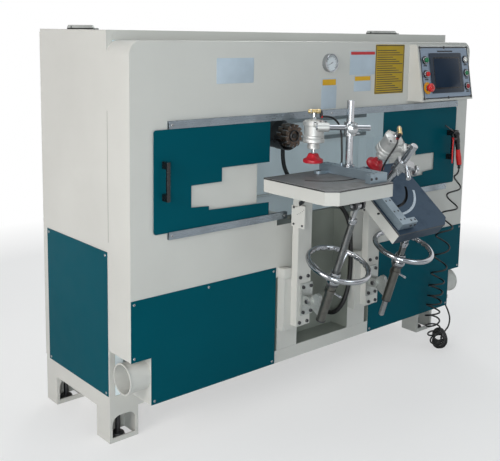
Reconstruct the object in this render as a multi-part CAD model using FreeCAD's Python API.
import FreeCAD, Part
import math
import os

# A tenoning machine with two tilting tables. Sizes are in millimetres.
# X runs along the front from left to right, Y from the front panel to the back, Z up from the floor.
# The machine is drawn from its lower left front corner and moved to its reference point at the end.

V = FreeCAD.Vector
RIGHT = V(1, 0, 0)
BACK = V(0, 1, 0)
UP = V(0, 0, 1)

# Driving dimensions of the cabinet
length = 2010.0
body_front = 152.0
body_back = 668.0
body_height = 1580.0
shell_drop = 36.0
shell_height = body_height - shell_drop
shell_corner = 50.0
shell_bottom = 190.0
sheet = 3.0
cover_sheet = 2.5
rear_cover_depth = 30.0
seat_gap = 0.3
cut_over = 5.0

# Driving dimensions of the base
leg_width = 128.0
front_leg_depth = 98.0
rear_leg_depth = 88.0
leg_height = 126.0
leg_lift = 2.0
leg_wall = 6.0
foot_radius = 30.0
foot_thick = 14.0
foot_stud_radius = 10.0

# Driving dimensions of the front
notch_width = 88.0
notch_top = 378.0
port_radius = 58.0
port_wall = 2.5
port_length = 150.0
port_gap = 1.0
port_y = sheet + port_radius + port_gap
port_z = 296.0
lower_cover_share = 0.395725
lower_cover_top = shell_height * lower_cover_share
recess_half = 296.0
recess_left = length / 2 - recess_half
recess_bottom = 245.0
recess_depth = 100.0
opening_half = 409.0
opening_left = length / 2 - opening_half
rail_front = 12.0
rail_height = 29.0
rail_drop_share = 0.2046632
rail_bottom = shell_height * (1 - rail_drop_share)
rail_top = rail_bottom + rail_height
rail_left = 160.0
rail_right_inset = 95.0
rail_right = length - rail_right_inset
opening_share = 0.3110749
low_rail_top = rail_bottom * (1 - opening_share)
low_rail_bottom = low_rail_top - rail_height
recess_drop = 56.0
recess_top = low_rail_top - recess_drop
low_rail_half = 250.0
low_rail_inner = length / 2 - low_rail_half
door_left = 96.0
door_half_gap = 350.0
door_right = length / 2 - door_half_gap
door_lap = 2.0
door_bottom = low_rail_top - door_lap
door_top = rail_bottom - door_lap / 2
door_corner = 10.0
handle_drop_share = 0.2976501
door_sheet = 2.5
door_back = 5.0
handle_x = 137.0
right_handle_inset = 162.0
right_handle_x = length - right_handle_inset
handle_length = 145.0
handle_top = door_top - (door_top - door_bottom) * handle_drop_share
handle_bottom = handle_top - handle_length

# Driving dimensions of the control box
box_inset = 88.0
box_width = 394.0
box_right = length - box_inset
box_left = box_right - box_width
box_drop = 10.0
box_height = 262.0
box_top = shell_height - box_drop
box_bottom = box_top - box_height
box_low_depth = 90.0
box_high_depth = 42.0

# Driving dimensions of the two table units
left_unit_reach = 205.0
right_unit_reach = 232.0
left_unit_x = length / 2 - left_unit_reach
right_unit_x = length / 2 + right_unit_reach
right_tilt = 38.0
table_left = 205.0
table_width = 345.0
table_back = 42.0
table_depth = 370.0
table_rise = 164.0
table_top = low_rail_top + table_rise
table_thick = 57.0
plate_thick = 18.0
chamfer_x = 43.0
chamfer_y = 35.0
hinge_y = -60.0
hinge_drop = 73.0
hinge_z = table_top - hinge_drop
post_width = 77.0
post_front = 75.0
post_back = 40.0
post_drop = 574.0
post_bottom = hinge_z - post_drop
strut_inset = 12.0
pivot_y = -107.5
pivot_drop = 462.0
pivot_z = hinge_z - pivot_drop
axis_offset = 77.5
eye_y = -346.0
eye_drop = 14.0
eye_z = hinge_z - eye_drop
screw_radius = 14.0
screw_tip_radius = 12.0
screw_tip_length = 100.0
screw_length = 438.0
strut_radius = 19.0
strut_low = -45.0
strut_high = 130.0
wheel_radius = 136.0
rim_radius = 11.0
rim_rise = 98.0
hub_height = 62.0
column_radius = 15.0
column_inset = 35.0
column_w = 203.0
column_top = 306.0
bar_radius = 11.0
bar_height = 199.0
bar_offset = 28.0
bar_free_end = 78.0
bar_far_end = 170.0
cylinder_reach = 142.0
cylinder_side = 57.0
left_swivel = 51.5
right_swivel = 38.5
fence_pivot_inset = 100.0
fence_pivot_w = 308.0
slot_radius = 172.0
slot_width = 12.0

# Driving dimensions of the cutting unit
cutter_inset = 52.0
cutter_x = left_unit_x + cutter_inset
cutter_y = 72.0
cutter_rise = 137.0
cutter_z = table_top + cutter_rise
cutter_radius = 52.0
motor_radius = 62.0

# Driving dimensions of the hoses
gun_hose_radius = 4.0
clamp_hose_radius = 4.0
feed_hose_radius = 10.0

# Running clearance on a radius, and a slide's clearance on a flat
running = 0.05
slide_gap = 0.5

panel_screw_radius = 5.5
panel_screw_height = 2.0

table_front = table_back + table_depth
rear_face = body_back + rear_cover_depth
origin = V(length / 2, (rear_face + panel_screw_height - table_front) / 2, 0)
parts = {}


def box(x0, x1, y0, y1, z0, z1):
    return Part.makeBox(x1 - x0, y1 - y0, z1 - z0, V(x0, y0, z0))


def rod(radius, height, at, along=UP):
    return Part.makeCylinder(radius, height, at, along)


def pipe(outer, inner, height, at, along=UP):
    over = (outer - inner) / 2
    bore = rod(inner, height + over * 2, at - along * over, along)
    return rod(outer, height, at, along).cut(bore)


def join(shapes):
    first = shapes[0]
    return first.fuse(shapes[1:]).removeSplitter() if len(shapes) > 1 else first


def prism(points, along):
    """A solid whose flat outline is pushed along a vector."""
    return Part.Face(Part.makePolygon(points + [points[0]])).extrude(along)


def outline_xz(shares, y0, y1):
    return prism([V(x, y0, z) for x, z in shares], V(0, y1 - y0, 0))


def outline_yz(shares, x0, x1):
    return prism([V(x0, y, z) for y, z in shares], V(x1 - x0, 0, 0))


def outline_xy(shares, z0, z1):
    return prism([V(x, y, z0) for x, y in shares], V(0, 0, z1 - z0))


def round_along(shape, along, radius, keep=None):
    """Rounds the straight edges that run along one direction."""
    chosen = []
    for edge in shape.Edges:
        if len(edge.Vertexes) < 2 or not isinstance(edge.Curve, Part.Line):
            continue
        run = edge.Vertexes[1].Point - edge.Vertexes[0].Point
        if run.cross(along).Length < run.Length * running and (keep is None or keep(edge)):
            chosen.append(edge)
    return shape.makeFillet(radius, chosen) if chosen else shape


def mirrored(shape):
    """The same piece on the other side of the machine's middle."""
    return shape.mirror(V(length / 2, 0, 0), RIGHT)


def group(shapes):
    return shapes[0] if len(shapes) == 1 else Part.makeCompound(shapes)


def swept(wire, radius, start, heading):
    """A round tube along a wire, as one solid."""
    ring = Part.Wire(Part.makeCircle(radius, start, heading))
    return wire.makePipeShell([ring], True, False)


def cord_wire(points, name):
    """Straight runs joined by tangent arcs, each as large as its two runs allow."""
    share = 0.45
    edges = []
    at = points[0]
    radii = []
    for index in range(1, len(points) - 1):
        before, corner, after = points[index - 1], points[index], points[index + 1]
        back = (before - corner)
        ahead = (after - corner)
        shorter = min(back.Length, ahead.Length)
        turn = math.pi - back.getAngle(ahead)
        setback = share * shorter
        radius = setback / math.tan(turn / 2)
        radii.append(radius)
        back.normalize()
        ahead.normalize()
        first = corner + back * setback
        last = corner + ahead * setback
        inward = back + ahead
        inward.normalize()
        centre = corner + inward * math.hypot(radius, setback)
        middle = centre - inward * radius
        edges.append(Part.LineSegment(at, first).toShape())
        edges.append(Part.Arc(first, middle, last).toShape())
        at = last
    edges.append(Part.LineSegment(at, points[-1]).toShape())
    print(name, "arc radii", [round(r) for r in radii])
    return Part.Wire(edges)


def cord_tube(points, radius, name):
    wire = cord_wire(points, name)
    tube = swept(wire, radius, points[0], points[1] - points[0])
    print(name, "length", round(wire.Length), "volume share",
          round(tube.Volume / (math.pi * radius ** 2 * wire.Length), 3))
    return tube


def biarc(start, heading, end, final):
    """Two arcs that leave start along heading and reach end along final."""
    gap = end - start
    both = heading + final
    slack = 2 * (1 - heading.dot(final))
    reach = gap.dot(both)
    if slack < running * running:
        along = gap.dot(gap) / (4 * gap.dot(final))
    else:
        along = (-reach + math.sqrt(reach * reach + slack * gap.dot(gap))) / slack
    first = start + heading * along
    last = end - final * along
    joint = (first + last) * 0.5
    return [arc_from(start, heading, joint), arc_from(joint, last - first, end)]


def arc_from(start, heading, end):
    """One arc from start to end that leaves along heading."""
    chord = end - start
    away = V(heading)
    away.normalize()
    sine = away.cross(chord).Length / chord.Length
    if sine < running * running:
        return Part.LineSegment(start, end).toShape()
    radius = chord.Length / (2 * sine)
    inward = chord - away * chord.dot(away)
    inward.normalize()
    centre = start + inward * radius
    middle = start + chord * 0.5 - centre
    middle.normalize()
    return Part.Arc(start, centre + middle * radius, end).toShape()


gland_outer = 15.0
gland_length = 20.0
feed_start_inset = 145.0
feed_start_y = 445.0
feed_end_inset = 99.0
feed_end_y = 82.0
feed_end_rise = 67.0
connector_radius = 7.0
connector_length = 22.0
nipple_length = 12.0
inlet_inset = 74.0
inlet_y = 22.0
inlet_rise = 18.0
inlet_end = V(length - inlet_inset, inlet_y, shell_bottom + inlet_rise)

# The base: a tray on four boxed legs


def leg(x0, y0, depth):
    """A boxed leg with an arched hole in the face towards the front."""
    outer = box(x0, x0 + leg_width, y0, y0 + depth, leg_lift, leg_height)
    inner = box(x0 + leg_wall, x0 + leg_width - leg_wall, y0 + leg_wall, y0 + depth - leg_wall,
                leg_lift - cut_over, leg_height - leg_wall)
    hole_margin = 12.0
    sill = 18.0
    hole_top = leg_height - sill
    hole = box(x0 + hole_margin, x0 + leg_width - hole_margin, y0 - cut_over, y0 + leg_wall + cut_over,
               leg_lift + sill, hole_top)
    crown = (leg_width - 2 * hole_margin) / 3
    hole = round_along(hole, BACK, crown, lambda e: e.BoundBox.ZMin > hole_top - cut_over)
    return outer.cut(inner).cut(hole)


def leg_places():
    rear = body_back - rear_leg_depth
    far = length - leg_width
    return [(0, body_front, front_leg_depth), (far, body_front, front_leg_depth),
            (0, rear, rear_leg_depth), (far, rear, rear_leg_depth)]


def base_frame():
    tray_wall = 6.0
    tray = box(0, length, body_front, body_back, leg_height, shell_bottom)
    hollow = box(tray_wall, length - tray_wall, body_front + tray_wall, body_back - tray_wall,
                 leg_height + tray_wall, shell_bottom + cut_over)
    rib = 8.0
    ribs = []
    for share in (1 / 4, 1 / 2, 3 / 4):
        ribs.append(box(length * share - rib / 2, length * share + rib / 2, body_front + tray_wall,
                        body_back - tray_wall, leg_height + tray_wall, shell_bottom))
    legs = [leg(x, y, depth) for x, y, depth in leg_places()]
    studs = [rod(foot_stud_radius + running, leg_height, V(x, y, leg_height / 2)) for x, y in foot_places()]
    return join([tray.cut(hollow)] + ribs + legs).cut(studs)


def foot_places():
    return [(x + leg_width / 2, y + depth / 2) for x, y, depth in leg_places()]


def levelling_feet():
    feet = []
    neck = 6.0
    nut_radius = 17.0
    for x, y in foot_places():
        disc = Part.makeCone(foot_radius, foot_radius - neck, foot_thick, V(x, y, 0), UP)
        stud = rod(foot_stud_radius, leg_height - foot_thick + neck, V(x, y, foot_thick))
        nut = rod(nut_radius, neck * 2, V(x, y, leg_height - leg_wall - neck * 2 - seat_gap))
        feet.append(join([disc, stud, nut]))
    return group(feet)


# The inner frame: uprights, a top ring and the cross beam that carries the cutting unit

tube_width = 60.0
beam_front = 400.0
beam_depth = 90.0
beam_half = 80.0
beam_drop = 27.0
beam_bottom = cutter_z - beam_drop - beam_half
beam_top = cutter_z - beam_drop + beam_half
feed_start = V(length / 2 + feed_start_inset, feed_start_y, beam_bottom - gland_length)
feed_end = V(length / 2 + feed_end_inset, feed_end_y, recess_bottom + feed_end_rise)
inner_top = body_height - sheet - seat_gap


def inner_frame():
    inset = sheet + seat_gap
    wall = 4.0
    rear = body_back - tube_width - inset
    front = body_front + inset
    xs = (inset, length / 2 - tube_width / 2, length - inset - tube_width)
    pieces = []
    for x in (xs[0], xs[2]):
        for y in (front, rear):
            pieces.append(box(x, x + tube_width, y, y + tube_width, shell_bottom + seat_gap, inner_top))
    pieces.append(box(xs[1], xs[1] + tube_width, rear, rear + tube_width, shell_bottom + seat_gap, inner_top))
    for y in (front, rear):
        pieces.append(box(xs[0], xs[2] + tube_width, y, y + tube_width, inner_top - tube_width, inner_top))
    for x in xs:
        pieces.append(box(x, x + tube_width, front, rear + tube_width, inner_top - tube_width, inner_top))
    pieces.append(box(xs[0], xs[2] + tube_width, beam_front, beam_front + beam_depth, beam_bottom, beam_top))
    for x in (xs[0], xs[2]):
        pieces.append(box(x, x + tube_width, beam_front, rear + wall, beam_bottom, beam_top))
    pieces.append(box(xs[1], xs[1] + tube_width, beam_front, rear + wall, beam_bottom, beam_top))
    pieces.append(rod(gland_outer, gland_length, feed_start, UP))
    return join(pieces)


# The sheet metal of the cabinet

top_thick = sheet
panel_lip = 25.0


def side_panel():
    """The left side wall with its folded edges."""
    wall = box(0, sheet, body_front, body_back, shell_bottom, body_height - top_thick)
    lips = [box(0, panel_lip, y, y + sheet, shell_bottom, body_height - top_thick)
            for y in (body_front, body_back - sheet)]
    return join([wall] + lips)


def top_cover():
    plate = box(0, length, body_front, body_back, body_height - top_thick, body_height)
    lip = box(panel_lip + seat_gap, length - panel_lip - seat_gap, body_front, body_front + sheet,
              shell_height, body_height - top_thick)
    return join([plate, lip])


rear_split_share = 0.468354


def rear_cover():
    """Two folded trays, one over the other, screwed to the back."""
    split = body_height * rear_split_share
    joint_gap = 2.0
    side_gap = 12.0
    trays = []
    for low, high in ((shell_bottom, split - joint_gap), (split, body_height - side_gap)):
        outer = box(side_gap, length - side_gap, body_back, rear_face, low, high)
        inner = box(side_gap + sheet, length - side_gap - sheet, body_back - cut_over, rear_face - sheet,
                    low + sheet, high - sheet)
        trays.append(outer.cut(inner))
    louvre_count = 8
    louvre_pitch = 22.0
    louvre_height = 7.0
    louvre_length = 260.0
    slots = []
    for index in range(louvre_count):
        z = split / 2 + louvre_pitch * index
        for x in (length / 4, length * 3 / 4):
            slots.append(box(x - louvre_length / 2, x + louvre_length / 2, rear_face - sheet - cut_over,
                             rear_face + cut_over, z, z + louvre_height))
    trays[0] = trays[0].cut(slots)
    return group(trays)


def shell_outline(inset, y0, y1):
    """The front shell seen from the front: two rounded top corners and two square notches below."""
    left, right = inset, length - inset
    low, high = shell_bottom + inset, shell_height - inset
    corner = shell_corner - inset
    notch_x, notch_z = notch_width + inset, notch_top + inset
    half = math.sqrt(0.5)
    edges = []

    def line(a, b):
        edges.append(Part.LineSegment(V(a[0], y0, a[1]), V(b[0], y0, b[1])).toShape())

    def corner_arc(cx, sign):
        a = V(cx + sign * corner, y0, high - corner)
        m = V(cx + sign * corner * half, y0, high - corner + corner * half)
        b = V(cx, y0, high)
        edges.append(Part.Arc(a, m, b).toShape() if sign > 0 else Part.Arc(b, m, a).toShape())

    line((notch_x, low), (length - notch_x, low))
    line((length - notch_x, low), (length - notch_x, notch_z))
    line((length - notch_x, notch_z), (right, notch_z))
    line((right, notch_z), (right, high - corner))
    corner_arc(right - corner, 1)
    line((right - corner, high), (left + corner, high))
    corner_arc(left + corner, -1)
    line((left, high - corner), (left, notch_z))
    line((left, notch_z), (notch_x, notch_z))
    line((notch_x, notch_z), (notch_x, low))
    return Part.Face(Part.Wire(edges)).extrude(V(0, y1 - y0, 0))


gauge_inset = 16.0
gauge_x = length / 2 - gauge_inset
gauge_drop = 88.0
gauge_z = shell_height - gauge_drop
gauge_radius = 39.0
gauge_hole = 20.0


def front_shell():
    recess_right = length - recess_left
    shell = shell_outline(0, 0, body_front).cut(shell_outline(sheet, sheet, body_front + cut_over))
    service_inset = 28.0
    opening = box(opening_left, length - opening_left, -cut_over, sheet + cut_over, low_rail_top, rail_bottom)
    mouth = box(recess_left, recess_right, -cut_over, sheet + cut_over, recess_bottom, low_rail_top + cut_over)
    service = []
    for x0, x1 in lower_cover_spans():
        service.append(box(x0 + service_inset, x1 - service_inset, -cut_over, sheet + cut_over,
                           notch_top + service_inset, lower_cover_top - service_inset))
    gauge_bore = rod(gauge_hole, sheet + 2 * cut_over, V(gauge_x, -cut_over, gauge_z), BACK)
    shell = shell.cut([opening, mouth, gauge_bore] + service)
    pan_back = box(recess_left - sheet, recess_right + sheet, recess_depth, recess_depth + sheet,
                   recess_bottom - sheet, recess_top)
    cheeks = [box(x, x + sheet, sheet, recess_depth, recess_bottom - sheet, low_rail_top)
              for x in (recess_left - sheet, recess_right)]
    floor = box(recess_left - sheet, recess_right + sheet, sheet, recess_depth, recess_bottom - sheet,
                recess_bottom)
    lip_depth = 20.0
    lip = box(recess_left - sheet, recess_right + sheet, recess_depth, recess_depth + lip_depth,
              recess_top - sheet, recess_top)
    gland = rod(gland_outer, gland_length, feed_end, BACK)
    return join([shell, pan_back, floor, lip, gland, air_inlet()] + cheeks)


def air_inlet():
    """A small block on the notch wall with a nipple that points down to the gun's hose."""
    depth = 22.0
    block_height = 16.0
    out = inlet_end.x - (length - notch_width)
    block = box(inlet_end.x - out - sheet / 2, inlet_end.x + depth / 2, inlet_end.y - depth / 2,
                inlet_end.y + depth / 2, inlet_end.z + nipple_length - cut_over / 2,
                inlet_end.z + nipple_length + block_height)
    nipple = rod(connector_radius, nipple_length, inlet_end)
    return block.fuse(nipple)


def lower_cover_spans():
    return ((0, recess_left), (length - recess_left, length))


def lower_front_covers():
    """Two plates, each with a square notch round its dust port."""
    margin = 1.0
    left = outline_xz([(margin, notch_top), (notch_width, notch_top), (notch_width, shell_bottom + margin),
                       (recess_left - margin, shell_bottom + margin), (recess_left - margin, lower_cover_top),
                       (margin, lower_cover_top)], -cover_sheet, 0)
    return group([left, mirrored(left)])


side_cover_inset = 6.0
side_cover_rear_inset = 32.0
side_cover_front = body_front + side_cover_inset
side_cover_back = body_back - side_cover_rear_inset
side_cover_share = 0.481646
side_cover_top = body_height * side_cover_share


def side_lower_covers():
    left = box(-cover_sheet, 0, side_cover_front, side_cover_back, shell_bottom + cover_sheet, side_cover_top)
    return group([left, mirrored(left)])


def screw_head(at, out, radius, height):
    return Part.makeCone(radius, radius / 2, height, at, out)


def panel_screws():
    """The visible screws of the sheet covers and rails."""
    heads = []
    margin = 14.0

    def add(at, out):
        heads.append(screw_head(at, out, panel_screw_radius, panel_screw_height))

    front = -BACK
    top = lower_cover_top - margin
    low = shell_bottom + margin
    for x in (margin, recess_left / 2, recess_left - margin, length - margin, length - recess_left / 2,
              length - recess_left + margin):
        add(V(x, -cover_sheet, top), front)
    for x in (notch_width + margin, recess_left - margin, length - notch_width - margin,
              length - recess_left + margin):
        add(V(x, -cover_sheet, low), front)
    for x in (margin, length - margin):
        add(V(x, -cover_sheet, notch_top + margin), front)
    for y in (side_cover_front + margin, side_cover_back - margin):
        for z in (low, side_cover_top - margin):
            add(V(-cover_sheet, y, z), -RIGHT)
            add(V(length + cover_sheet, y, z), RIGHT)
    for x in (rail_left + margin, length / 2, rail_right - margin):
        add(V(x, -rail_front, (rail_bottom + rail_top) / 2), front)
    for x in (rail_left + margin, low_rail_inner - margin, length - low_rail_inner + margin,
              length - rail_left - margin):
        add(V(x, -rail_front, (low_rail_bottom + low_rail_top) / 2), front)
    back_margin = 30.0
    for x in (back_margin, length / 2, length - back_margin):
        for z in (shell_bottom + back_margin, body_height - 2 * back_margin):
            add(V(x, rear_face, z), BACK)
    return group(heads)


slot_front = 9.5
slot_back = 3.0
slot_depth = 21.0


def upper_rail():
    bar = box(rail_left, rail_right, -rail_front, 0, rail_bottom, rail_top)
    groove = box(rail_left - cut_over, rail_right + cut_over, -slot_front, -slot_back,
                 rail_bottom - cut_over, rail_bottom + slot_depth)
    return bar.cut(groove)


def lower_rails():
    bar = box(rail_left, low_rail_inner, -rail_front, 0, low_rail_bottom, low_rail_top)
    groove = box(rail_left - cut_over, low_rail_inner + cut_over, -slot_front, -slot_back,
                 low_rail_top - slot_depth, low_rail_top + cut_over)
    left = bar.cut(groove)
    return group([left, mirrored(left)])


def dust_port():
    duct = pipe(port_radius, port_radius - port_wall, port_length, V(0, port_y, port_z), RIGHT)
    bead_width = 6.0
    bead = pipe(port_radius + port_wall, port_radius - port_wall / 2, bead_width, V(0, port_y, port_z), RIGHT)
    neck_gap = sheet
    reach = notch_width + neck_gap
    entry = rod(port_radius, sheet + 2 * cut_over, V(notch_width - cut_over, port_y, port_z), RIGHT)
    collar_width = port_gap + seat_gap
    collar = pipe(port_radius + collar_width, port_radius - port_wall, sheet,
                  V(notch_width - sheet, port_y, port_z), RIGHT)
    return join([duct, bead, collar]), entry, reach


def lifting_brackets():
    """Four folded plates on the roof, each with a hole for a hook."""
    width = 190.0
    thick = 6.0
    height = 18.0
    inset = 90.0
    hole = 9.0
    near = body_front + width
    brackets = []
    for x in (inset, length - inset - thick):
        for y in (near, body_back - inset - width / 2):
            foot = box(x, x + thick * 4, y, y + width, body_height, body_height + thick)
            wall = box(x, x + thick, y, y + width, body_height, body_height + height)
            bore = rod(hole / 2, thick * 3, V(x - thick, y + width / 2, body_height + height - hole), RIGHT)
            brackets.append(join([foot, wall]).cut(bore))
    return group(brackets)


# Doors

# Corners of the door sheet, as shares of its width and height
door_shares = ((0, 0), (1, 0), (1, 0.13838), (0.4508, 0.15927), (0.4508, 0.19843), (0.30054, 0.21149),
               (0.30054, 0.43081), (0.56172, 0.43081), (0.56172, 0.5718), (1, 0.5718), (1, 1), (0, 1))


def door():
    """A sheet with a stepped notch, guide strips above and below, and a bridge handle."""
    front, back = -door_back - door_sheet, -door_back
    width, height = door_right - door_left, door_top - door_bottom
    steps = [(door_left + width * x, door_bottom + height * z) for x, z in door_shares]
    plate = outline_xz(steps, front, back)
    plate = round_along(plate, BACK, door_corner, lambda e: e.BoundBox.XMax < door_left + door_corner)
    strip_end = 12.0
    strip_left = rail_left + strip_end
    strip_right = door_right - strip_end
    upper = box(strip_left, strip_right, front, back, door_top - cut_over, rail_bottom + slot_depth - cut_over)
    lower = box(strip_left, strip_right, front, back, low_rail_top - slot_depth + seat_gap,
                door_bottom + cut_over)
    return join([plate, upper, lower])


grip_out = 45.0
grip_width = 14.0
grip_depth = 12.0
grip_foot = 26.0


def door_handle(x):
    base = -door_back - door_sheet
    grip = box(x - grip_width / 2, x + grip_width / 2, -grip_out, -grip_out + grip_depth,
               handle_bottom, handle_top)
    legs = []
    for z0 in (handle_bottom, handle_top - grip_foot):
        legs.append(box(x - grip_width / 2, x + grip_width / 2, -grip_out, base, z0, z0 + grip_foot))
    body = join([grip] + legs)
    edge = grip_width / 5
    return round_along(body, UP, edge)


# Control box


def wedge(y_low, y_high, x0, x1, z0, z1):
    """A box whose front leans back, from y_low at the bottom to y_high at the top."""
    return outline_yz([(0, z0), (-y_low, z0), (-y_high, z1), (0, z1)], x0, x1)


box_lip = 4.0
face_margin = 12.0
face_thick = 3.0
lean = math.degrees(math.atan2(box_low_depth - box_high_depth, box_top - box_bottom))


def on_face(shape):
    """Puts a piece drawn against the plane y = 0, z = 0 on the leaning face, from its lower edge."""
    shape.rotate(V(0, 0, 0), RIGHT, -lean)
    shape.translate(V(0, -box_low_depth, box_bottom))
    return shape


face_height = math.hypot(box_top - box_bottom, box_low_depth - box_high_depth)


def control_box():
    outer = wedge(box_low_depth, box_high_depth, box_left, box_right, box_bottom, box_top)
    wall = sheet
    inner = wedge(box_low_depth - wall, box_high_depth - wall, box_left + wall, box_right - wall,
                  box_bottom + wall, box_top - wall)
    window = on_face(box(box_left + face_margin * 2, box_right - face_margin * 2, -cut_over, wall * 3,
                         face_margin * 2, face_height - face_margin * 2))
    return outer.cut(inner).cut(window)


screen_inset = 84.0
screen_width = 236.0
screen_left = box_left + screen_inset
screen_right = screen_left + screen_width
screen_low = 38.0
screen_high = 212.0
screen_proud = 5.0
left_button_inset = 42.0
right_button_inset = 36.0
left_button_x = box_left + left_button_inset
right_button_x = box_right - right_button_inset
button_rows = (63.0, 128.0, 193.0)
button_radius = 11.0
button_travel = 5.0
button_proud = 13.0
ring_radius = 15.0
ring_height = 4.0
stop_radius = 20.0


def control_faceplate():
    plate = on_face(box(box_left + face_margin, box_right - face_margin, -face_thick, 0, face_margin,
                        face_height - face_margin))
    bores = []
    for x in (left_button_x, right_button_x):
        for row in button_rows:
            bores.append(on_face(rod(button_radius + seat_gap, face_thick + 2 * cut_over,
                                     V(x, -face_thick - cut_over, row), BACK)))
    seat = on_face(box(screen_left + face_margin, screen_right - face_margin, -face_thick - cut_over,
                       cut_over, screen_low + face_margin, screen_high - face_margin))
    rings = []
    for x in (left_button_x, right_button_x):
        for row in button_rows:
            rings.append(on_face(pipe(ring_radius, button_radius + seat_gap, ring_height,
                                      V(x, -face_thick - ring_height, row), BACK)))
    return join([plate.cut(bores + [seat])] + rings)


def touch_screen():
    frame = box(screen_left, screen_right, -face_thick - screen_proud, -face_thick, screen_low, screen_high)
    frame = round_along(frame, BACK, screen_proud)
    glass_margin = 22.0
    dish = 1.5
    pocket = box(screen_left + glass_margin, screen_right - glass_margin, -face_thick - screen_proud - cut_over,
                 -face_thick - screen_proud + dish, screen_low + glass_margin, screen_high - glass_margin)
    plug_margin = face_margin + slide_gap
    case = box(screen_left + plug_margin, screen_right - plug_margin, -face_thick, face_thick * 5,
               screen_low + plug_margin, screen_high - plug_margin)
    return on_face(join([frame.cut(pocket), case]))


def push_button(row, radius, proud):
    """A cap of the left column and its stem; the stem runs in the faceplate."""
    x = left_button_x
    cap_base = -face_thick - ring_height - button_travel - seat_gap
    cap_thick = proud - button_travel
    edge = cap_thick / 4
    cap = rod(radius, cap_thick, V(x, cap_base, row), -BACK)
    cap = cap.makeFillet(edge, [e for e in cap.Edges if e.BoundBox.YMax < cap_base - cap_thick + edge])
    shank = rod(button_radius, -cap_base + face_thick, V(x, cap_base, row), BACK)
    return on_face(join([cap, shank]))


def indicator_lamps():
    """Three fixed lamp caps in the right column."""
    lamps = []
    for row in button_rows:
        lens = rod(button_radius, ring_height + button_travel, V(right_button_x, -face_thick, row), -BACK)
        lens = lens.makeFillet(button_travel / 2, [e for e in lens.Edges if e.BoundBox.YMax < -face_thick - ring_height])
        shank = rod(button_radius / 2, face_thick * 3, V(right_button_x, -face_thick, row), BACK)
        lamps.append(on_face(join([lens, shank])))
    return group(lamps)


def pressure_gauge():
    depth = 22.0
    glass_dish = 3.0
    bezel = 5.0
    case = rod(gauge_radius, depth, V(gauge_x, 0, gauge_z), -BACK)
    case = case.makeFillet(glass_dish, [e for e in case.Edges if e.BoundBox.YMax < -depth + glass_dish])
    face = rod(gauge_radius - bezel, glass_dish + cut_over, V(gauge_x, -depth + glass_dish, gauge_z), -BACK)
    stem = rod(gauge_hole - slide_gap, depth, V(gauge_x, 0, gauge_z), BACK)
    hub_radius = 3.0
    hub = rod(hub_radius, glass_dish, V(gauge_x, -depth + glass_dish, gauge_z), -BACK)
    return join([case.cut(face), stem, hub])


# Cutting unit: rails on the cross beam, a carriage, an upright slide, a motor and a cutter

guide_width = 18.0
guide_depth = 20.0
guide_low = 79.0
guide_high = 15.0
guide_rows = (cutter_z - guide_low, cutter_z + guide_high)
guide_end = 330.0
block_length = 60.0
block_depth = 26.0
carriage_width = 220.0
carriage_plate = 16.0
carriage_drop = 127.0
carriage_rise = 69.0
carriage_low = cutter_z - carriage_drop
carriage_high = cutter_z + carriage_rise
slide_bar = 16.0
slide_plate = 18.0
slide_half = 84.0
slide_drop = 117.0
slide_rise = 72.0
slide_low = cutter_z - slide_drop
slide_high = cutter_z + slide_rise
motor_length = 150.0
carriage_back = beam_front - guide_depth - slide_gap
carriage_front = carriage_back - carriage_plate
slide_back = carriage_front - slide_bar - slide_gap
slide_front = slide_back - slide_plate


def x_rails():
    bars = []
    for z in guide_rows:
        bars.append(box(guide_end, length - guide_end, beam_front - guide_depth, beam_front,
                        z - guide_width / 2, z + guide_width / 2))
    return group(bars)


def x_carriage():
    half = carriage_width / 2
    plate = box(cutter_x - half, cutter_x + half, carriage_front, carriage_back, carriage_low, carriage_high)
    shoes = []
    shoe_wall = 10.0
    for z in guide_rows:
        for side in (-1, 1):
            x = cutter_x + side * (half - block_length / 2)
            shoe = box(x - block_length / 2, x + block_length / 2, carriage_back, carriage_back + guide_depth,
                       z - guide_width / 2 - shoe_wall, z + guide_width / 2 + shoe_wall)
            track = box(x - block_length, x + block_length, carriage_back, carriage_back + guide_depth + cut_over,
                        z - guide_width / 2 - slide_gap, z + guide_width / 2 + slide_gap)
            shoes.append(shoe.cut(track))
    uprights = []
    for side in (-1, 1):
        x = cutter_x + side * slide_half
        uprights.append(box(x - slide_bar / 2, x + slide_bar / 2, carriage_front - slide_bar, carriage_front,
                            carriage_low, carriage_high))
    return join([plate] + shoes + uprights)


def z_slide():
    """The upright slide: a plate with two grooves and a clamp ring that holds the motor."""
    wide = slide_half + slide_bar
    plate = box(cutter_x - wide, cutter_x + wide, slide_front, slide_back, slide_low, slide_high)
    ring_wall = 12.0
    ring_depth = 70.0
    guides = []
    for side in (-1, 1):
        for edge in (-1, 1):
            x = cutter_x + side * slide_half + edge * (slide_bar / 2 + slide_gap + ring_wall / 4)
            guides.append(box(x - ring_wall / 4, x + ring_wall / 4, slide_back, slide_back + slide_bar,
                              slide_low, slide_high))
    ring = pipe(motor_radius + ring_wall, motor_radius + seat_gap, ring_depth,
                V(cutter_x, slide_front, cutter_z), -BACK)
    bore = rod(motor_radius + seat_gap, slide_plate + 2 * cut_over, V(cutter_x, slide_front - cut_over, cutter_z),
               BACK)
    return join([plate, ring] + guides).cut(bore)


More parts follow.
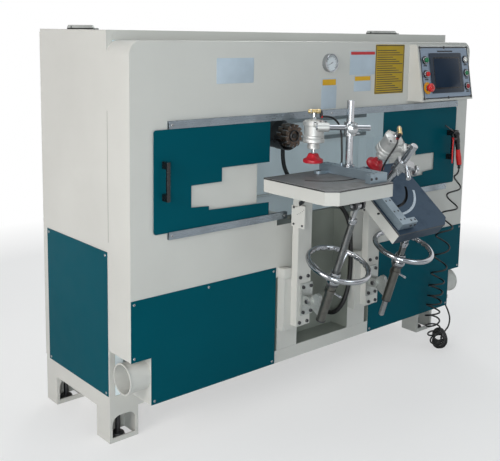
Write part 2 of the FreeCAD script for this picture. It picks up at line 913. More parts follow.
def spindle_motor():
    """The spindle motor with its nose, its fan cowl and the guard round the cutter."""
    nose_radius = 34.0
    nose_length = 50.0
    nose_end = cutter_y + cutter_clear
    body_end = nose_end + nose_length
    body = rod(motor_radius, slide_back - body_end, V(cutter_x, body_end, cutter_z), BACK)
    nose = Part.makeCone(nose_radius, motor_radius, nose_length, V(cutter_x, nose_end, cutter_z), BACK)
    bore = rod(arbor_radius + running, slide_back, V(cutter_x, nose_end - cut_over, cutter_z), BACK)
    guard_gap = 10.0
    guard_wall = 3.0
    guard_in = cutter_radius + guard_gap
    guard_depth = 55.0
    guard = pipe(guard_in + guard_wall, guard_in, guard_depth, V(cutter_x, nose_end - guard_wall, cutter_z), BACK)
    keep = box(cutter_x - guard_in * 2, cutter_x + guard_in / 2, nose_end - guard_depth,
               nose_end + guard_depth * 2, cutter_z - guard_in * 2, cutter_z - guard_in / 3)
    guard = guard.common(keep)
    web = outline_xz([(cutter_x - guard_in, cutter_z - guard_in / 2), (cutter_x + guard_in / 3, cutter_z - guard_in),
                      (cutter_x + guard_in / 3, cutter_z), (cutter_x - guard_in, cutter_z)],
                     nose_end + nose_length / 2, nose_end + nose_length / 2 + guard_wall)
    return join([body, nose, guard, web]).cut(bore)


arbor_radius = 14.0
cutter_clear = 20.0
cutter_thick = 26.0
tooth_count = 12


def cutter_head():
    """A toothed disc on an arbor that turns in the motor."""
    face = cutter_y - cutter_thick / 2
    disc = rod(cutter_radius, cutter_thick, V(cutter_x, face, cutter_z), BACK)
    gullets = []
    gullet = 8.0
    for index in range(tooth_count):
        turn = math.radians(360.0 / tooth_count * index)
        at = V(cutter_x + math.cos(turn) * cutter_radius, face - cut_over, cutter_z + math.sin(turn) * cutter_radius)
        gullets.append(rod(gullet, cutter_thick + 2 * cut_over, at, BACK))
    disc = disc.cut(gullets)
    hub_radius = cutter_radius * 0.5
    hub_proud = 8.0
    hub = rod(hub_radius, hub_proud, V(cutter_x, face, cutter_z), -BACK)
    arbor = rod(arbor_radius, slide_back - cutter_y, V(cutter_x, cutter_y, cutter_z), BACK)
    return join([disc, hub, arbor])


# Table units. u runs right from the table's left edge, w back from its front edge, h up from its top.

lug_thick = 14.0
lug_radius = 20.0
barrel_radius = 14.0
hinge_pin_radius = 8.0
sector_in = 46.0
sector_out = 60.0
sector_gap = 2.0
quadrant_drop = 147.0
quadrant_rise = 52.0
quadrant_low = hinge_z - quadrant_drop
quadrant_high = hinge_z - quadrant_rise
quadrant_front = 116.0
quadrant_thick = 8.0
clevis_in = 17.0
clevis_thick = 10.0
clevis_radius = 18.0


def tilted(shape, degrees):
    """Tips a piece of a table unit forward about the hinge."""
    shape.rotate(V(0, hinge_y, hinge_z), RIGHT, degrees)
    return shape


def hinge_polar(radius, degrees, x):
    """A point round the hinge; the angle is from straight down towards the front."""
    turn = math.radians(degrees)
    return V(x, hinge_y - radius * math.sin(turn), hinge_z - radius * math.cos(turn))


def ring_sector(inner, outer, first, last, x0, x1):
    """A piece of a flat ring round the hinge, between two angles."""
    middle = (first + last) / 2
    edges = [
        Part.Arc(hinge_polar(outer, first, x0), hinge_polar(outer, middle, x0), hinge_polar(outer, last, x0)).toShape(),
        Part.LineSegment(hinge_polar(outer, last, x0), hinge_polar(inner, last, x0)).toShape(),
        Part.Arc(hinge_polar(inner, last, x0), hinge_polar(inner, middle, x0), hinge_polar(inner, first, x0)).toShape(),
        Part.LineSegment(hinge_polar(inner, first, x0), hinge_polar(outer, first, x0)).toShape(),
    ]
    return Part.Face(Part.Wire(edges)).extrude(V(x1 - x0, 0, 0))


def post(cx, side):
    """The upright of one table with its mounting pad, hinge barrel, quadrant and strut bracket."""
    half = post_width / 2
    pad_left = 40.0
    pad_drop = 20.0
    mount_height = 223.0
    pad_low = post_bottom - pad_drop
    pad_high = pad_low + mount_height
    column_low = recess_bottom + seat_gap
    column_high = recess_top - sheet
    bar_top = hinge_z - barrel_radius / 2
    upright = box(cx - half, cx + half, -post_front, -post_back, post_bottom, bar_top)
    pad = box(cx - half - pad_left, cx + half, -post_back, 0, pad_low, pad_high)
    column = box(cx - half - pad_left, cx + half, 0, recess_depth - seat_gap, column_low, column_high)
    barrel = rod(barrel_radius, post_width, V(cx - half, hinge_y, hinge_z), RIGHT)
    bore = rod(hinge_pin_radius + running, post_width + 2 * cut_over, V(cx - half - cut_over, hinge_y, hinge_z),
               RIGHT)
    plate_x = cx - half
    quadrant = box(plate_x - quadrant_thick, plate_x, -quadrant_front, -post_back, quadrant_low, quadrant_high)
    scoop = rod(sector_out + sector_gap, quadrant_thick + 2 * cut_over,
                V(plate_x - quadrant_thick - cut_over, hinge_y, hinge_z), RIGHT)
    scoop = scoop.cut(box(plate_x, plate_x + cut_over * 2, -quadrant_front * 2, 0, quadrant_low, hinge_z * 2))
    body = join([upright, pad, column, barrel, quadrant.cut(scoop)]).cut(bore)
    at = cx + strut_inset * side
    return group([body, strut_bracket(at)] + bracket_bolts(cx, at))


ear_half = 8.0
cheek_thick = 12.0
cheek_radius = 20.0
bracket_plate = 8.0
bracket_drop = 67.0
bracket_rise = 70.0
bracket_low = pivot_z - bracket_drop
bracket_high = pivot_z + bracket_rise
pivot_pin_radius = 6.0


def strut_bracket(cx):
    reach = ear_half + slide_gap + cheek_thick
    wide = reach + cheek_thick
    plate = box(cx - wide, cx + wide, -post_front - bracket_plate, -post_front, bracket_low, bracket_high)
    pieces = [plate]
    for side in (-1, 1):
        x0 = cx + side * (ear_half + slide_gap) - (cheek_thick if side < 0 else 0)
        round_end = rod(cheek_radius, cheek_thick, V(x0, pivot_y, pivot_z), RIGHT)
        root = box(x0, x0 + cheek_thick, pivot_y, -post_front - bracket_plate, pivot_z - cheek_radius,
                   pivot_z + cheek_radius)
        pieces += [round_end, root]
    pieces.append(rod(pivot_pin_radius, 2 * reach, V(cx - reach, pivot_y, pivot_z), RIGHT))
    return join(pieces)


def bracket_bolts(cx, at):
    """Bolt heads of the bracket and of the post."""
    head_radius = 7.0
    head_height = 6.0
    spread = 22.0
    row_gap = 14.0
    heads = []
    for z in (bracket_low + row_gap, bracket_high - row_gap):
        for side in (-1, 1):
            heads.append(rod(head_radius, head_height, V(at + side * spread, -post_front - bracket_plate, z), -BACK))
    for z in (post_bottom + row_gap, bracket_high + 2 * row_gap):
        for side in (-1, 1):
            heads.append(rod(head_radius, head_height, V(cx + side * spread, -post_front, z), -BACK))
    return heads


def u_to_x(cx, u):
    return cx - table_left + u


def w_to_y(w):
    return -table_front + w


def side_u(side, inset):
    """The distance from the left edge of a place that lies inset from the fence's edge."""
    return table_width - inset if side > 0 else inset


def slot_angle(side):
    """The angle round the fence pivot at which the lock bolt sits at rest."""
    across = (fence_pivot_inset - column_inset) * side
    return math.atan2(-math.sqrt(slot_radius ** 2 - across ** 2), across)


def slot_point(cx, side, angle, radius, z):
    u = side_u(side, fence_pivot_inset)
    return V(u_to_x(cx, u) + radius * math.cos(angle), w_to_y(fence_pivot_w) + radius * math.sin(angle), z)


fence_swing = 60.0
slot_spare = 6.0
slot_far_spare = 26.0


def curved_slot(cx, side):
    """The arc in which the fence's lock bolt runs."""
    rest = slot_angle(side)
    first = rest + math.radians(slot_spare) * side
    last = rest - math.radians(fence_swing + slot_far_spare) * side
    z0 = table_top - plate_thick - cut_over
    height = plate_thick + 2 * cut_over
    inner, outer = slot_radius - slot_width / 2, slot_radius + slot_width / 2
    middle = (first + last) / 2
    edges = [
        Part.Arc(slot_point(cx, side, first, outer, z0), slot_point(cx, side, middle, outer, z0),
                 slot_point(cx, side, last, outer, z0)).toShape(),
        Part.LineSegment(slot_point(cx, side, last, outer, z0), slot_point(cx, side, last, inner, z0)).toShape(),
        Part.Arc(slot_point(cx, side, last, inner, z0), slot_point(cx, side, middle, inner, z0),
                 slot_point(cx, side, first, inner, z0)).toShape(),
        Part.LineSegment(slot_point(cx, side, first, inner, z0), slot_point(cx, side, first, outer, z0)).toShape(),
    ]
    return Part.Face(Part.Wire(edges)).extrude(V(0, 0, height))


def table(cx, side, tilt):
    """A ribbed table with a cut corner, two hinge lugs, a sector and a clevis for the screw."""
    x0, x1 = cx - table_left, cx - table_left + table_width
    front, back = -table_front, -table_back
    low = table_top - table_thick

    def slab(inset, z0, z1):
        back_corners = [(x0 + inset, back - inset), (x1 - inset, back - inset)]
        if side > 0:
            front_corners = [(x1 - inset, front + inset), (x0 + chamfer_x, front + inset),
                             (x0 + inset, front + chamfer_y)]
        else:
            front_corners = [(x1 - inset, front + chamfer_y), (x1 - chamfer_x, front + inset),
                             (x0 + inset, front + inset)]
        return outline_xy(back_corners + front_corners, z0, z1)

    skirt = 14.0
    body = slab(0, low, table_top).cut(slab(skirt, low - cut_over, table_top - plate_thick))
    reach = post_width / 2 + slide_gap
    pieces = [body]
    for sign in (-1, 1):
        lug_x = cx + sign * reach - (lug_thick if sign < 0 else 0)
        pieces.append(rod(lug_radius, lug_thick, V(lug_x, hinge_y, hinge_z), RIGHT))
        pieces.append(box(lug_x, lug_x + lug_thick, hinge_y - lug_radius, back - skirt / 2, hinge_z,
                          table_top - plate_thick))
    pieces.append(rod(hinge_pin_radius, 2 * (reach + lug_thick), V(cx - reach - lug_thick, hinge_y, hinge_z), RIGHT))
    sector_x1 = cx - reach
    first_angle, last_angle = 24.0, 165.0
    pieces.append(ring_sector(sector_in, sector_out, first_angle, last_angle,
                              sector_x1 - quadrant_thick + slide_gap, sector_x1))
    clevis_plate = 6.0
    half = clevis_in + clevis_thick
    at = cx + strut_inset * side
    pieces.append(box(at - half - clevis_thick, at + half + clevis_thick, eye_y - clevis_radius * 2,
                      eye_y + clevis_radius * 2, low - clevis_plate, low + skirt))
    for sign in (-1, 1):
        cheek_x = at + sign * clevis_in - (clevis_thick if sign < 0 else 0)
        pieces.append(rod(clevis_radius, clevis_thick, V(cheek_x, eye_y, eye_z), RIGHT))
        pieces.append(box(cheek_x, cheek_x + clevis_thick, eye_y - clevis_radius, eye_y + clevis_radius,
                          eye_z, low))
    rib = 10.0
    for share in (1 / 4, 3 / 4):
        rib_x = x0 + table_width * share
        pieces.append(box(rib_x - rib / 2, rib_x + rib / 2, front + skirt / 2, back - skirt / 2,
                          low + skirt, table_top - plate_thick))
    pieces.append(box(x0 + skirt / 2, x1 - skirt / 2, eye_y - rib, eye_y + rib, low, table_top - plate_thick))
    solid = join(pieces)
    pivot = rod(fence_bolt_radius + running, plate_thick + 2 * cut_over,
                V(u_to_x(cx, side_u(side, fence_pivot_inset)), w_to_y(fence_pivot_w),
                  table_top - plate_thick - cut_over))
    return tilted(solid.cut([curved_slot(cx, side), pivot]), tilt)


fence_bolt_radius = 6.0
fence_width = 48.0
fence_height = 36.0
fence_front_w = 22.0
fence_back_w = 346.0
fence_plate = 12.0
lock_radius = 5.0
union_radius = 7.0
union_height = 12.0
union_w = 242.0
lug_reach = 50.0
lug_width = 26.0


def fence(cx, side, tilt):
    """A steel bar with a pivot arm, a front lug, a lock bolt and the hose union."""
    z0 = table_top + seat_gap
    u_mid = side_u(side, column_inset)
    x_mid = u_to_x(cx, u_mid)
    pivot_x = u_to_x(cx, side_u(side, fence_pivot_inset))
    bar = box(x_mid - fence_width / 2, x_mid + fence_width / 2, w_to_y(fence_front_w), w_to_y(fence_back_w),
              z0, z0 + fence_height)
    inward = -side
    far_x = x_mid + inward * (fence_width / 2 + lug_reach)
    edge_x = x_mid + inward * fence_width / 4
    lug = box(min(edge_x, far_x), max(edge_x, far_x), w_to_y(fence_front_w), w_to_y(fence_front_w + lug_width),
              z0, z0 + fence_height)
    arm_half = 19.0
    arm = box(min(pivot_x, x_mid), max(pivot_x, x_mid), w_to_y(fence_pivot_w) - arm_half,
              w_to_y(fence_pivot_w) + arm_half, z0, z0 + fence_plate)
    boss = rod(arm_half, fence_plate, V(pivot_x, w_to_y(fence_pivot_w), z0))
    pin = rod(fence_bolt_radius, plate_thick + fence_plate, V(pivot_x, w_to_y(fence_pivot_w),
                                                              table_top - plate_thick))
    lock_at = slot_point(cx, side, slot_angle(side), slot_radius, table_top - plate_thick)
    lock = rod(lock_radius, plate_thick + fence_plate, lock_at)
    union = rod(union_radius, union_height, V(x_mid, w_to_y(union_w), z0 + fence_height))
    bore = rod(column_radius, fence_height, V(x_mid, w_to_y(column_w), z0 + fence_height / 2))
    solid = join([bar, lug, arm, boss, pin, lock, union]).cut(bore)
    return tilted(solid, tilt)


def clamp_column(cx, side, tilt):
    x = u_to_x(cx, side_u(side, column_inset))
    y = w_to_y(column_w)
    low = table_top + seat_gap + fence_height / 2
    collar_radius = 22.0
    collar_height = 10.0
    chamfer = 1.5
    shaft = rod(column_radius, table_top + column_top - low, V(x, y, low))
    shaft = shaft.makeChamfer(chamfer, [e for e in shaft.Edges if e.BoundBox.ZMin > table_top + column_top - chamfer])
    flange = rod(collar_radius, collar_height, V(x, y, table_top + seat_gap + fence_height))
    return tilted(join([shaft, flange]), tilt)


def in_clamp(shape, cx, side, tilt):
    """Places a clamp piece drawn round the column with its bar pointing to the back."""
    swivel = left_swivel if side > 0 else right_swivel
    if side < 0:
        shape = shape.mirror(V(0, 0, 0), RIGHT)
    shape.rotate(V(0, 0, 0), UP, swivel * side)
    shape.translate(V(u_to_x(cx, side_u(side, column_inset)), w_to_y(column_w), table_top))
    return tilted(shape, tilt)


head_low = 180.0
head_high = 218.0
head_half = 22.0
collar_thick = 16.0


def clamp_collar(cx, side, tilt):
    """The split ring that sets the height of the clamp, with its screw."""
    outer = 24.0
    low = head_low - slide_gap - collar_thick
    ring = pipe(outer, column_radius + running, collar_thick, V(0, 0, low))
    screw_radius_small = 4.0
    screw_reach = 16.0
    screw = rod(screw_radius_small, screw_reach + outer - column_radius - cut_over,
                V(0, -column_radius - cut_over, low + collar_thick / 2), -BACK)
    return in_clamp(join([ring, screw]), cx, side, tilt)


def clamp_head(cx, side, tilt):
    """The cross block between column and bar, with a round knob."""
    block = box(-bar_offset - head_half, head_half, -head_half, head_half, head_low, head_high)
    block = round_along(block, UP, head_half / 4)
    column_bore = rod(column_radius + running, head_high, V(0, 0, head_low / 2))
    bar_bore = rod(bar_radius + running, 4 * head_half, V(-bar_offset, -2 * head_half, bar_height), BACK)
    block = block.cut([column_bore, bar_bore])
    knob_radius = 21.0
    knob_thick = 14.0
    stem_length = 12.0
    stem_radius = 5.0
    face = -bar_offset - head_half
    stem = rod(stem_radius, stem_length + cut_over, V(face + cut_over, 0, bar_height), -RIGHT)
    knob = rod(knob_radius, knob_thick, V(face - stem_length, 0, bar_height), -RIGHT)
    knob = knob.makeFillet(knob_thick / 4, [e for e in knob.Edges if isinstance(e.Curve, Part.Circle)])
    return in_clamp(join([block, stem, knob]), cx, side, tilt)


def clamp_bar(cx, side, tilt):
    bar = rod(bar_radius, bar_free_end + bar_far_end, V(-bar_offset, -bar_free_end, bar_height), BACK)
    chamfer = 1.5
    bar = bar.makeChamfer(chamfer, [e for e in bar.Edges if isinstance(e.Curve, Part.Circle)])
    return in_clamp(bar, cx, side, tilt)


cylinder_low = 131.0
cylinder_high = 190.0
cylinder_radius = 40.0
flange_radius = 45.0
flange_height = 19.0
cap_height = 10.0
gland_radius = 25.0
gland_low = 105.0
rod_radius = 7.0
pad_low = 48.0
pad_high = 85.0
pad_radius = 38.0
pad_neck_radius = 20.0
fitting_low = 200.0
fitting_mid = 224.0
fitting_radius = 9.0
tee_radius = 10.0
tee_height = 236.0
tee_half = 24.0
cylinder_x = -bar_offset + cylinder_side


def clamp_cylinder(cx, side, tilt):
    """The air cylinder: flange, barrel, cap with ears, split lug on the bar, and its brass fitting."""
    x, y = cylinder_x, cylinder_reach
    flange = rod(flange_radius, flange_height, V(x, y, cylinder_low))
    barrel = rod(cylinder_radius, cylinder_high - cylinder_low, V(x, y, cylinder_low))
    cap = rod(flange_radius, cap_height, V(x, y, cylinder_high))
    dome_top = 18.0
    dome = Part.makeCone(flange_radius, dome_top, cap_height, V(x, y, cylinder_high + cap_height), UP)
    gland = rod(gland_radius, cylinder_low - gland_low, V(x, y, gland_low))
    ears = []
    ear_radius = 9.0
    ear_count = 3
    for index in range(ear_count):
        turn = math.radians(360.0 / ear_count * (index + 1 / 2))
        ears.append(rod(ear_radius, cap_height * 2, V(x + flange_radius * math.cos(turn),
                                                      y + flange_radius * math.sin(turn),
                                                      cylinder_high - cap_height)))
    lug_radius_outer = 20.0
    lug_length = 52.0
    split_lug = rod(lug_radius_outer, lug_length, V(-bar_offset, y - lug_length / 2, bar_height), BACK)
    web = box(-bar_offset, x, y - lug_length / 3, y + lug_length / 3, bar_height - lug_radius_outer,
              cylinder_high + cap_height)
    stem = rod(fitting_radius, fitting_mid - fitting_low + cap_height, V(x, y, fitting_low))
    tee = rod(tee_radius, 2 * tee_half, V(x, y - tee_half, tee_height), BACK)
    body = join([flange, barrel, cap, dome, gland, split_lug, web, stem, tee] + ears)
    bar_bore = rod(bar_radius, 2 * lug_length, V(-bar_offset, y - lug_length, bar_height), BACK)
    rod_bore = rod(rod_radius + running, cylinder_high - gland_low, V(x, y, gland_low - cut_over))
    return in_clamp(body.cut([bar_bore, rod_bore]), cx, side, tilt)


def pressure_pad(cx, side, tilt):
    """The piston rod with its bell shaped pad."""
    x, y = cylinder_x, cylinder_reach
    rim = 10.0
    shaft = rod(rod_radius, cylinder_high - gland_low + gland_low - pad_high, V(x, y, pad_high - cut_over))
    skirt = rod(pad_radius, rim, V(x, y, pad_low))
    bell = Part.makeCone(pad_radius, pad_neck_radius, pad_high - pad_low - rim, V(x, y, pad_low + rim), UP)
    pad = skirt.fuse(bell)
    return in_clamp(join([shaft, pad]), cx, side, tilt)


def strut_frame(tilt):
    """Foot, direction and eye place of the screw's axis when the table is tipped by tilt degrees."""
    turn = math.radians(tilt)
    dy, dz = eye_y - hinge_y, eye_z - hinge_z
    ey = hinge_y + math.cos(turn) * dy - math.sin(turn) * dz
    ez = hinge_z + math.sin(turn) * dy + math.cos(turn) * dz
    ty, tz = ey - pivot_y, ez - pivot_z
    span = math.hypot(ty, tz)
    swing = math.atan2(-ty, tz) - math.asin(axis_offset / span)
    along = V(0, -math.sin(swing), math.cos(swing))
    outward = V(0, -math.cos(swing), -math.sin(swing))
    foot = V(0, pivot_y, pivot_z) + outward * axis_offset
    return foot, along, math.sqrt(span ** 2 - axis_offset ** 2), math.degrees(swing)


def on_strut(shape, cx, side, tilt):
    """Places a piece drawn round the Z axis, with the pivot behind it at axis_offset, on the strut."""
    foot, along, reach, swing = strut_frame(tilt)
    shape.rotate(V(0, 0, 0), RIGHT, swing)
    shape.translate(V(cx + strut_inset * side, 0, 0) + foot)
    return shape


def strut_tube(cx, side, tilt):
    """The tube that guides the screw, with its ear on the bracket and a lock lever."""
    bore_gap = 1.0
    tube = pipe(strut_radius, screw_radius + bore_gap, strut_high - strut_low, V(0, 0, strut_low))
    inner = strut_radius / 2
    ear = prism([V(-ear_half, axis_offset, -ear_radius), V(-ear_half, axis_offset, ear_radius),
                 V(-ear_half, axis_offset * 0.75, ear_top), V(-ear_half, axis_offset / 2, ear_top),
                 V(-ear_half, inner, ear_radius), V(-ear_half, inner, strut_low + ear_drop)],
                V(2 * ear_half, 0, 0))
    ear = round_along(ear, RIGHT, ear_radius / 2, lambda e: e.BoundBox.ZMin > ear_top - ear_half)
    round_end = rod(ear_radius, 2 * ear_half, V(-ear_half, axis_offset, 0), RIGHT)
    bore = rod(screw_radius + bore_gap, 2 * (strut_high - strut_low), V(0, 0, 2 * strut_low))
    pin_bore = rod(pivot_pin_radius + running, 4 * ear_half, V(-2 * ear_half, axis_offset, 0), RIGHT)
    lever_radius = 4.0
    lever_length = 42.0
    lever_drop = 26.0
    lever = rod(lever_radius, lever_length, V(0, -strut_radius + lever_radius, strut_high - lever_drop),
                V(1, -1, -1 / 2))
    collar_height = 14.0
    collar = pipe(strut_radius + lever_radius, strut_radius - lever_radius, collar_height,
                  V(0, 0, strut_high - lever_drop - collar_height / 2))
    solid = join([tube, ear, round_end, lever, collar]).cut([bore, pin_bore])
    return on_strut(solid, cx, side, tilt)


ear_radius = 17.0
ear_top = 50.0
ear_drop = 12.0
nut_gap = 0.1
spoke_count = 3


def handwheel(cx, side, tilt):
    """A rim on three spokes with a hub that is the nut of the screw."""
    hub_radius = 26.0
    spoke_radius = 8.0
    base = strut_high + seat_gap
    hub = Part.makeCone(hub_radius, hub_radius * 0.75, hub_height, V(0, 0, base), UP)
    rim_z = base + rim_rise
    rim_circle = wheel_radius - rim_radius
    rim = Part.makeTorus(rim_circle, rim_radius, V(0, 0, rim_z), UP)
    spokes = []
    for index in range(spoke_count):
        turn = math.radians(360.0 / spoke_count * index - 90.0)
        out = V(math.cos(turn), math.sin(turn), 0)
        start = V(0, 0, base + hub_height * 0.7) + out * (hub_radius * 0.7)
        end = V(0, 0, rim_z) + out * rim_circle
        spokes.append(rod(spoke_radius, (end - start).Length, start, end - start))
    bore = rod(screw_radius + nut_gap, 3 * hub_height, V(0, 0, base - hub_height))
    return on_strut(join([hub, rim] + spokes).cut(bore), cx, side, tilt)


def tilt_screw(cx, side, tilt):
    """The threaded spindle with its stop nut and the eye that meets the table's clevis."""
    foot, along, reach, swing = strut_frame(tilt)
    eye_radius = 15.0
    eye_half = 12.0
    neck = 60.0
    nut_radius = 17.0
    nut_height = 15.0
    chamfer = 2.0
    stud_radius = 9.0
    low = reach - screw_length
    thread = rod(screw_radius, screw_length - screw_tip_length - neck, V(0, 0, low + screw_tip_length))
    stud = rod(stud_radius, neck + eye_radius / 2, V(0, 0, reach - neck - eye_radius))
    shaft = thread.fuse(rod(screw_tip_radius, screw_tip_length + eye_radius, V(0, 0, low)))
    shaft = shaft.makeChamfer(chamfer, [e for e in shaft.Edges if e.BoundBox.ZMax < reach - screw_length + chamfer])
    nut = rod(nut_radius, nut_height, V(0, 0, reach - neck - nut_height))
    eye = rod(eye_radius, 2 * eye_half, V(-eye_half, 0, reach), RIGHT)
    stub_radius = 7.0
    stub_half = clevis_in - slide_gap
    stub = rod(stub_radius, 2 * stub_half, V(-stub_half, 0, reach), RIGHT)
    return on_strut(join([shaft, nut, stud, eye, stub]), cx, side, tilt)


# Air gun on the right door's handle

gun_y = -64.0
gun_body_radius = 12.0
gun_flare = 2.0
gun_head_flare = 3.0


def gun_point(dx, dz):
    """A place on the gun, from the top of the right door's handle."""
    return V(right_handle_x + dx, gun_y, handle_top + dz)


gun_head_inset = 4.0
gun_head_drop = 14.0
gun_tail_reach = 30.0
gun_tail_drop = 168.0
gun_tip_reach = 100.0
gun_tip_rise = 34.0
gun_head = gun_point(-gun_head_inset, -gun_head_drop)
gun_tail = gun_point(gun_tail_reach, -gun_tail_drop)
gun_tip = gun_point(-gun_tip_reach, gun_tip_rise)


def air_gun():
    """Grip, head, thin nozzle, a hook over the handle and the hose connector."""
    down = gun_tail - gun_head
    grip = Part.makeCone(gun_body_radius, gun_body_radius + gun_flare, down.Length, gun_head, down)
    head = Part.makeSphere(gun_body_radius + gun_head_flare, gun_head)
    out = gun_tip - gun_head
    nozzle_radius = 3.0
    nozzle = rod(nozzle_radius, out.Length, gun_head, out)
    boss = rod(gun_body_radius / 1.4, gun_body_radius * 2.4, gun_head, out)
    connector = rod(connector_radius, connector_length, gun_tail, UP * -1)
    hook_wall = 4.0
    hook_top = handle_top + hook_wall + seat_gap
    hook_back = -grip_out + grip_depth + hook_wall + seat_gap
    hook = box(right_handle_x - grip_width / 2, right_handle_x + grip_width / 2, gun_y, hook_back,
               handle_top + seat_gap, hook_top)
    riser = box(right_handle_x - grip_width / 2, right_handle_x + grip_width / 2, gun_y - hook_wall, gun_y + hook_wall,
                gun_head.z, hook_top)
    ears = []
    for side in (-1, 1):
        y = gun_y + side * (trigger_half + ear_thin / 2 + slide_gap) - ear_thin / 2
        ears.append(box(trigger_top.x - trigger_radius, gun_head.x, y, y + ear_thin,
                        trigger_top.z - trigger_radius, trigger_top.z + trigger_radius))
    pin = rod(trigger_pin_radius, 2 * (trigger_half + slide_gap) + ear_thin,
              trigger_top - BACK * (trigger_half + slide_gap + ear_thin / 2), BACK)
    return join([grip, head, nozzle, boss, connector, hook, riser, pin] + ears)


trigger_radius = 4.0
trigger_bead = 1.0
trigger_half = 5.0
trigger_pin_radius = 2.0
ear_thin = 2.0
trigger_gap = 12.0
trigger_lean = 2.0
trigger_top_drop = 22.0
trigger_low_drop = 140.0
trigger_top = gun_head + V(-gun_body_radius - trigger_gap, 0, -trigger_top_drop)
trigger_low = gun_head + V(-gun_body_radius - trigger_gap - trigger_lean, 0, -trigger_low_drop)


def gun_trigger():
    """The lever on the gun's left side, pivoted near the head."""
    run = trigger_low - trigger_top
    lever = rod(trigger_radius, run.Length, trigger_top, run)
    eye = rod(trigger_radius + trigger_bead, 2 * trigger_half, trigger_top - BACK * trigger_half, BACK)
    bore = rod(trigger_pin_radius + running, 4 * trigger_half, trigger_top - BACK * (2 * trigger_half), BACK)
    return join([lever, eye, Part.makeSphere(trigger_radius + trigger_bead, trigger_low)]).cut(bore)


# Hoses


def feed_hose():
    """The thick hose from the cross beam, over the recess and down into its back wall."""
    route = [feed_start, V(1150, 445, 978), V(1151, 430, 920), V(1154, 386, 872), V(1157, 328, 845),
             V(1159, 268, 832), V(1159, 208, 828), V(1157, 148, 828), V(1152, 92, 822), V(1148, 42, 802),
             V(1145, 4, 764), V(1143, -16, 716), V(1143, -20, 662), V(1145, -21, 606), V(1147, -20, 550),
             V(1145, -20, 500), V(1138, -20, 454), V(1127, -18, 412), V(1116, -11, 376),
             V(1108, 4, 346), V(1104, 26, 324), V(1104, 54, 312), feed_end]
    return cord_tube(route, feed_hose_radius, "feed hose")


def clamp_hose(cx, side, tilt):
    """The thin hose from the cylinder's fitting down to the union on the fence."""
    union_x, union_y = union_in_clamp(side)
    union_z = seat_gap + fence_height + union_height
    start = V(cylinder_x, cylinder_reach - tee_half, tee_height)
    route = [start, V(30, 92, 238), V(36, 66, 232), V(44, 44, 214), V(49, 31, 186), V(48, 25, 154),
             V(42, 25, 122), V(union_x, union_y, 88), V(union_x, union_y, union_z)]
    return in_clamp(cord_tube(route, clamp_hose_radius, "clamp hose"), cx, side, tilt)


def union_in_clamp(side):
    """Where the fence's union lies in the clamp's own frame."""
    swivel = math.radians(left_swivel if side > 0 else right_swivel)
    back = union_w - column_w
    return back * math.sin(swivel), back * math.cos(swivel)


# Middle line of the curled hose: place, curl radius, and turns to the next place
curl_stations = [
    (V(1876, -64, 890), 14.0, 1), (V(1848, -63, 800), 30.0, 1), (V(1815, -62, 705), 36.0, 1),
    (V(1783, -61, 606), 36.0, 1), (V(1774, -60, 500), 36.0, 1), (V(1758, -60, 410), 35.0, 1),
    (V(1744, -60, 348), 35.0, 1), (V(1738, -60, 296), 35.0, 1), (V(1732, -60, 249), 34.0, 1),
    (V(1722, -62, 200), 34.0, 1), (V(1726, -64, 150), 34.0, 1), (V(1738, -66, 106), 33.0, 1),
    (V(1756, -68, 68), 33.0, 1), (V(1782, -66, 46), 33.0, 2), (V(1816, -50, 38), 33.0, 2),
    (V(1850, -24, 37), 32.0, 2), (V(1880, 4, 36), 31.0, 1), (V(1898, 22, 35), 29.0, 0)]
steps_per_turn = 4


def curl_line():
    """Points and headings along the curls, four to a turn."""
    points = [place for place, radius, turns in curl_stations]
    out = []
    side = V(RIGHT)
    angle = math.pi
    for index in range(len(curl_stations) - 1):
        place, radius, turns = curl_stations[index]
        following, next_radius, unused = curl_stations[index + 1]
        before = points[max(index - 1, 0)]
        after = points[min(index + 2, len(points) - 1)]
        first_pull = (following - before) * 0.5
        last_pull = (after - place) * 0.5
        steps = turns * steps_per_turn
        for step in range(steps):
            share = step / steps
            cube, square = share ** 3, share ** 2
            middle = (place * (2 * cube - 3 * square + 1) + first_pull * (cube - 2 * square + share)
                      + following * (3 * square - 2 * cube) + last_pull * (cube - square))
            along = (place * (6 * square - 6 * share) + first_pull * (3 * square - 4 * share + 1)
                     + following * (6 * share - 6 * square) + last_pull * (3 * square - 2 * share))
            ahead = V(along)
            ahead.normalize()
            side = side - ahead * side.dot(ahead)
            side.normalize()
            other = ahead.cross(side)
            reach = radius + (next_radius - radius) * share
            around = side * math.cos(angle) + other * math.sin(angle)
            turning = (other * math.cos(angle) - side * math.sin(angle)) * (2 * math.pi * turns * reach)
            heading = along + turning
            heading.normalize()
            out.append((middle + around * reach, heading))
            angle += 2 * math.pi / steps_per_turn
    return out


def air_hose():
    """One curled hose: straight out of the gun, hanging curls, curls on the floor, straight riser."""
    diameter = 2 * gun_hose_radius
    start = gun_tail - UP * connector_length
    stations = [(start - UP * diameter, -UP)] + curl_line()
    tail = [(V(1962, 6, 60), V(0.35, -0.1, 0.93)), (V(1974, 6, 104), V(-0.05, 0.1, 1)),
            (V(1957, 15, 156), V(-0.4, 0.16, 0.9)), (inlet_end - UP * diameter, UP)]
    for place, heading in tail:
        heading = V(heading)
        heading.normalize()
        stations.append((place, heading))
    edges = [Part.LineSegment(start, stations[0][0]).toShape()]
    for (a, a_heading), (b, b_heading) in zip(stations, stations[1:]):
        edges += biarc(a, a_heading, b, b_heading)
    edges.append(Part.LineSegment(stations[-1][0], inlet_end).toShape())
    wire = Part.Wire(edges)
    tube = swept(wire, gun_hose_radius, start, -UP)
    report_curls(edges, wire, tube, diameter)
    return tube


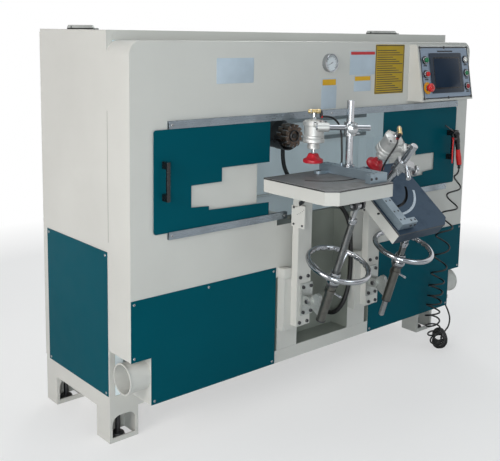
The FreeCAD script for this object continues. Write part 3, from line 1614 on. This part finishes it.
def report_curls(edges, wire, tube, diameter):
    """Prints the least gap of the hose to itself, its tightest bend and its lowest point."""
    samples = 6
    marks = []
    run = 0.0
    for edge in edges:
        for step in range(samples):
            share = step / samples
            at = edge.valueAt(edge.FirstParameter + (edge.LastParameter - edge.FirstParameter) * share)
            marks.append((run + edge.Length * share, at))
        run += edge.Length
    least = diameter * 100
    apart = diameter * 5
    for i, (place, at) in enumerate(marks):
        for other_place, other in marks[i + 1:]:
            if other_place - place > apart:
                least = min(least, at.distanceToPoint(other))
    tight = min(edge.Curve.Radius for edge in edges if hasattr(edge.Curve, "Radius"))
    print("air hose length", round(run), "least gap", round(least - diameter, 2), "tightest", round(tight, 1),
          "lowest", round(min(at.z for place, at in marks) - diameter / 2, 2), "volume share",
          round(tube.Volume / (math.pi * gun_hose_radius ** 2 * wire.Length), 3), tube.isValid())


def build():
    parts["base_frame"] = base_frame()
    parts["levelling_feet"] = levelling_feet()
    parts["inner_frame"] = inner_frame()
    parts["left_side_panel"] = side_panel()
    parts["right_side_panel"] = mirrored(side_panel())
    parts["top_cover"] = top_cover()
    parts["rear_cover"] = rear_cover()
    port, entry, reach = dust_port()
    parts["front_shell"] = front_shell().cut([entry, mirrored(entry)])
    parts["dust_ports"] = group([port, mirrored(port)])
    parts["lower_front_covers"] = lower_front_covers()
    parts["side_lower_covers"] = side_lower_covers()
    parts["panel_screws"] = panel_screws()
    parts["upper_rail"] = upper_rail()
    parts["lower_rails"] = lower_rails()
    parts["lifting_brackets"] = lifting_brackets()
    parts["left_door"] = group([door(), door_handle(handle_x)])
    parts["right_door"] = group([mirrored(door()), door_handle(right_handle_x)])
    parts["control_box"] = control_box()
    parts["control_faceplate"] = control_faceplate()
    parts["touch_screen"] = touch_screen()
    parts["start_button"] = push_button(button_rows[2], button_radius, button_proud)
    parts["stop_button"] = push_button(button_rows[1], button_radius, button_proud)
    parts["emergency_stop"] = push_button(button_rows[0], stop_radius, button_proud * 2)
    parts["indicator_lamps"] = indicator_lamps()
    parts["pressure_gauge"] = pressure_gauge()
    parts["x_rails"] = x_rails()
    parts["x_carriage"] = x_carriage()
    parts["z_slide"] = z_slide()
    parts["spindle_motor"] = spindle_motor()
    parts["cutter_head"] = cutter_head()
    for name, cx, side, tilt in (("left", left_unit_x, 1, 0), ("right", right_unit_x, -1, right_tilt)):
        parts[name + "_post"] = post(cx, side)
        parts[name + "_table"] = table(cx, side, tilt)
        parts[name + "_fence"] = fence(cx, side, tilt)
        parts[name + "_clamp_column"] = clamp_column(cx, side, tilt)
        parts[name + "_clamp_collar"] = clamp_collar(cx, side, tilt)
        parts[name + "_clamp_head"] = clamp_head(cx, side, tilt)
        parts[name + "_clamp_bar"] = clamp_bar(cx, side, tilt)
        parts[name + "_clamp_cylinder"] = clamp_cylinder(cx, side, tilt)
        parts[name + "_pressure_pad"] = pressure_pad(cx, side, tilt)
        parts[name + "_strut_tube"] = strut_tube(cx, side, tilt)
        parts[name + "_handwheel"] = handwheel(cx, side, tilt)
        parts[name + "_tilt_screw"] = tilt_screw(cx, side, tilt)
        parts[name + "_clamp_hose"] = clamp_hose(cx, side, tilt)
    parts["feed_hose"] = feed_hose()
    parts["air_gun"] = air_gun()
    parts["gun_trigger"] = gun_trigger()
    parts["air_hose"] = air_hose()


build()
os.makedirs("parts", exist_ok=True)
for name, shape in parts.items():
    placed = shape.copy()
    placed.translate(-origin)
    if not placed.isValid():
        print("not valid", name)
    placed.exportStep("parts/" + name + ".step")
print(len(parts), "nodes")
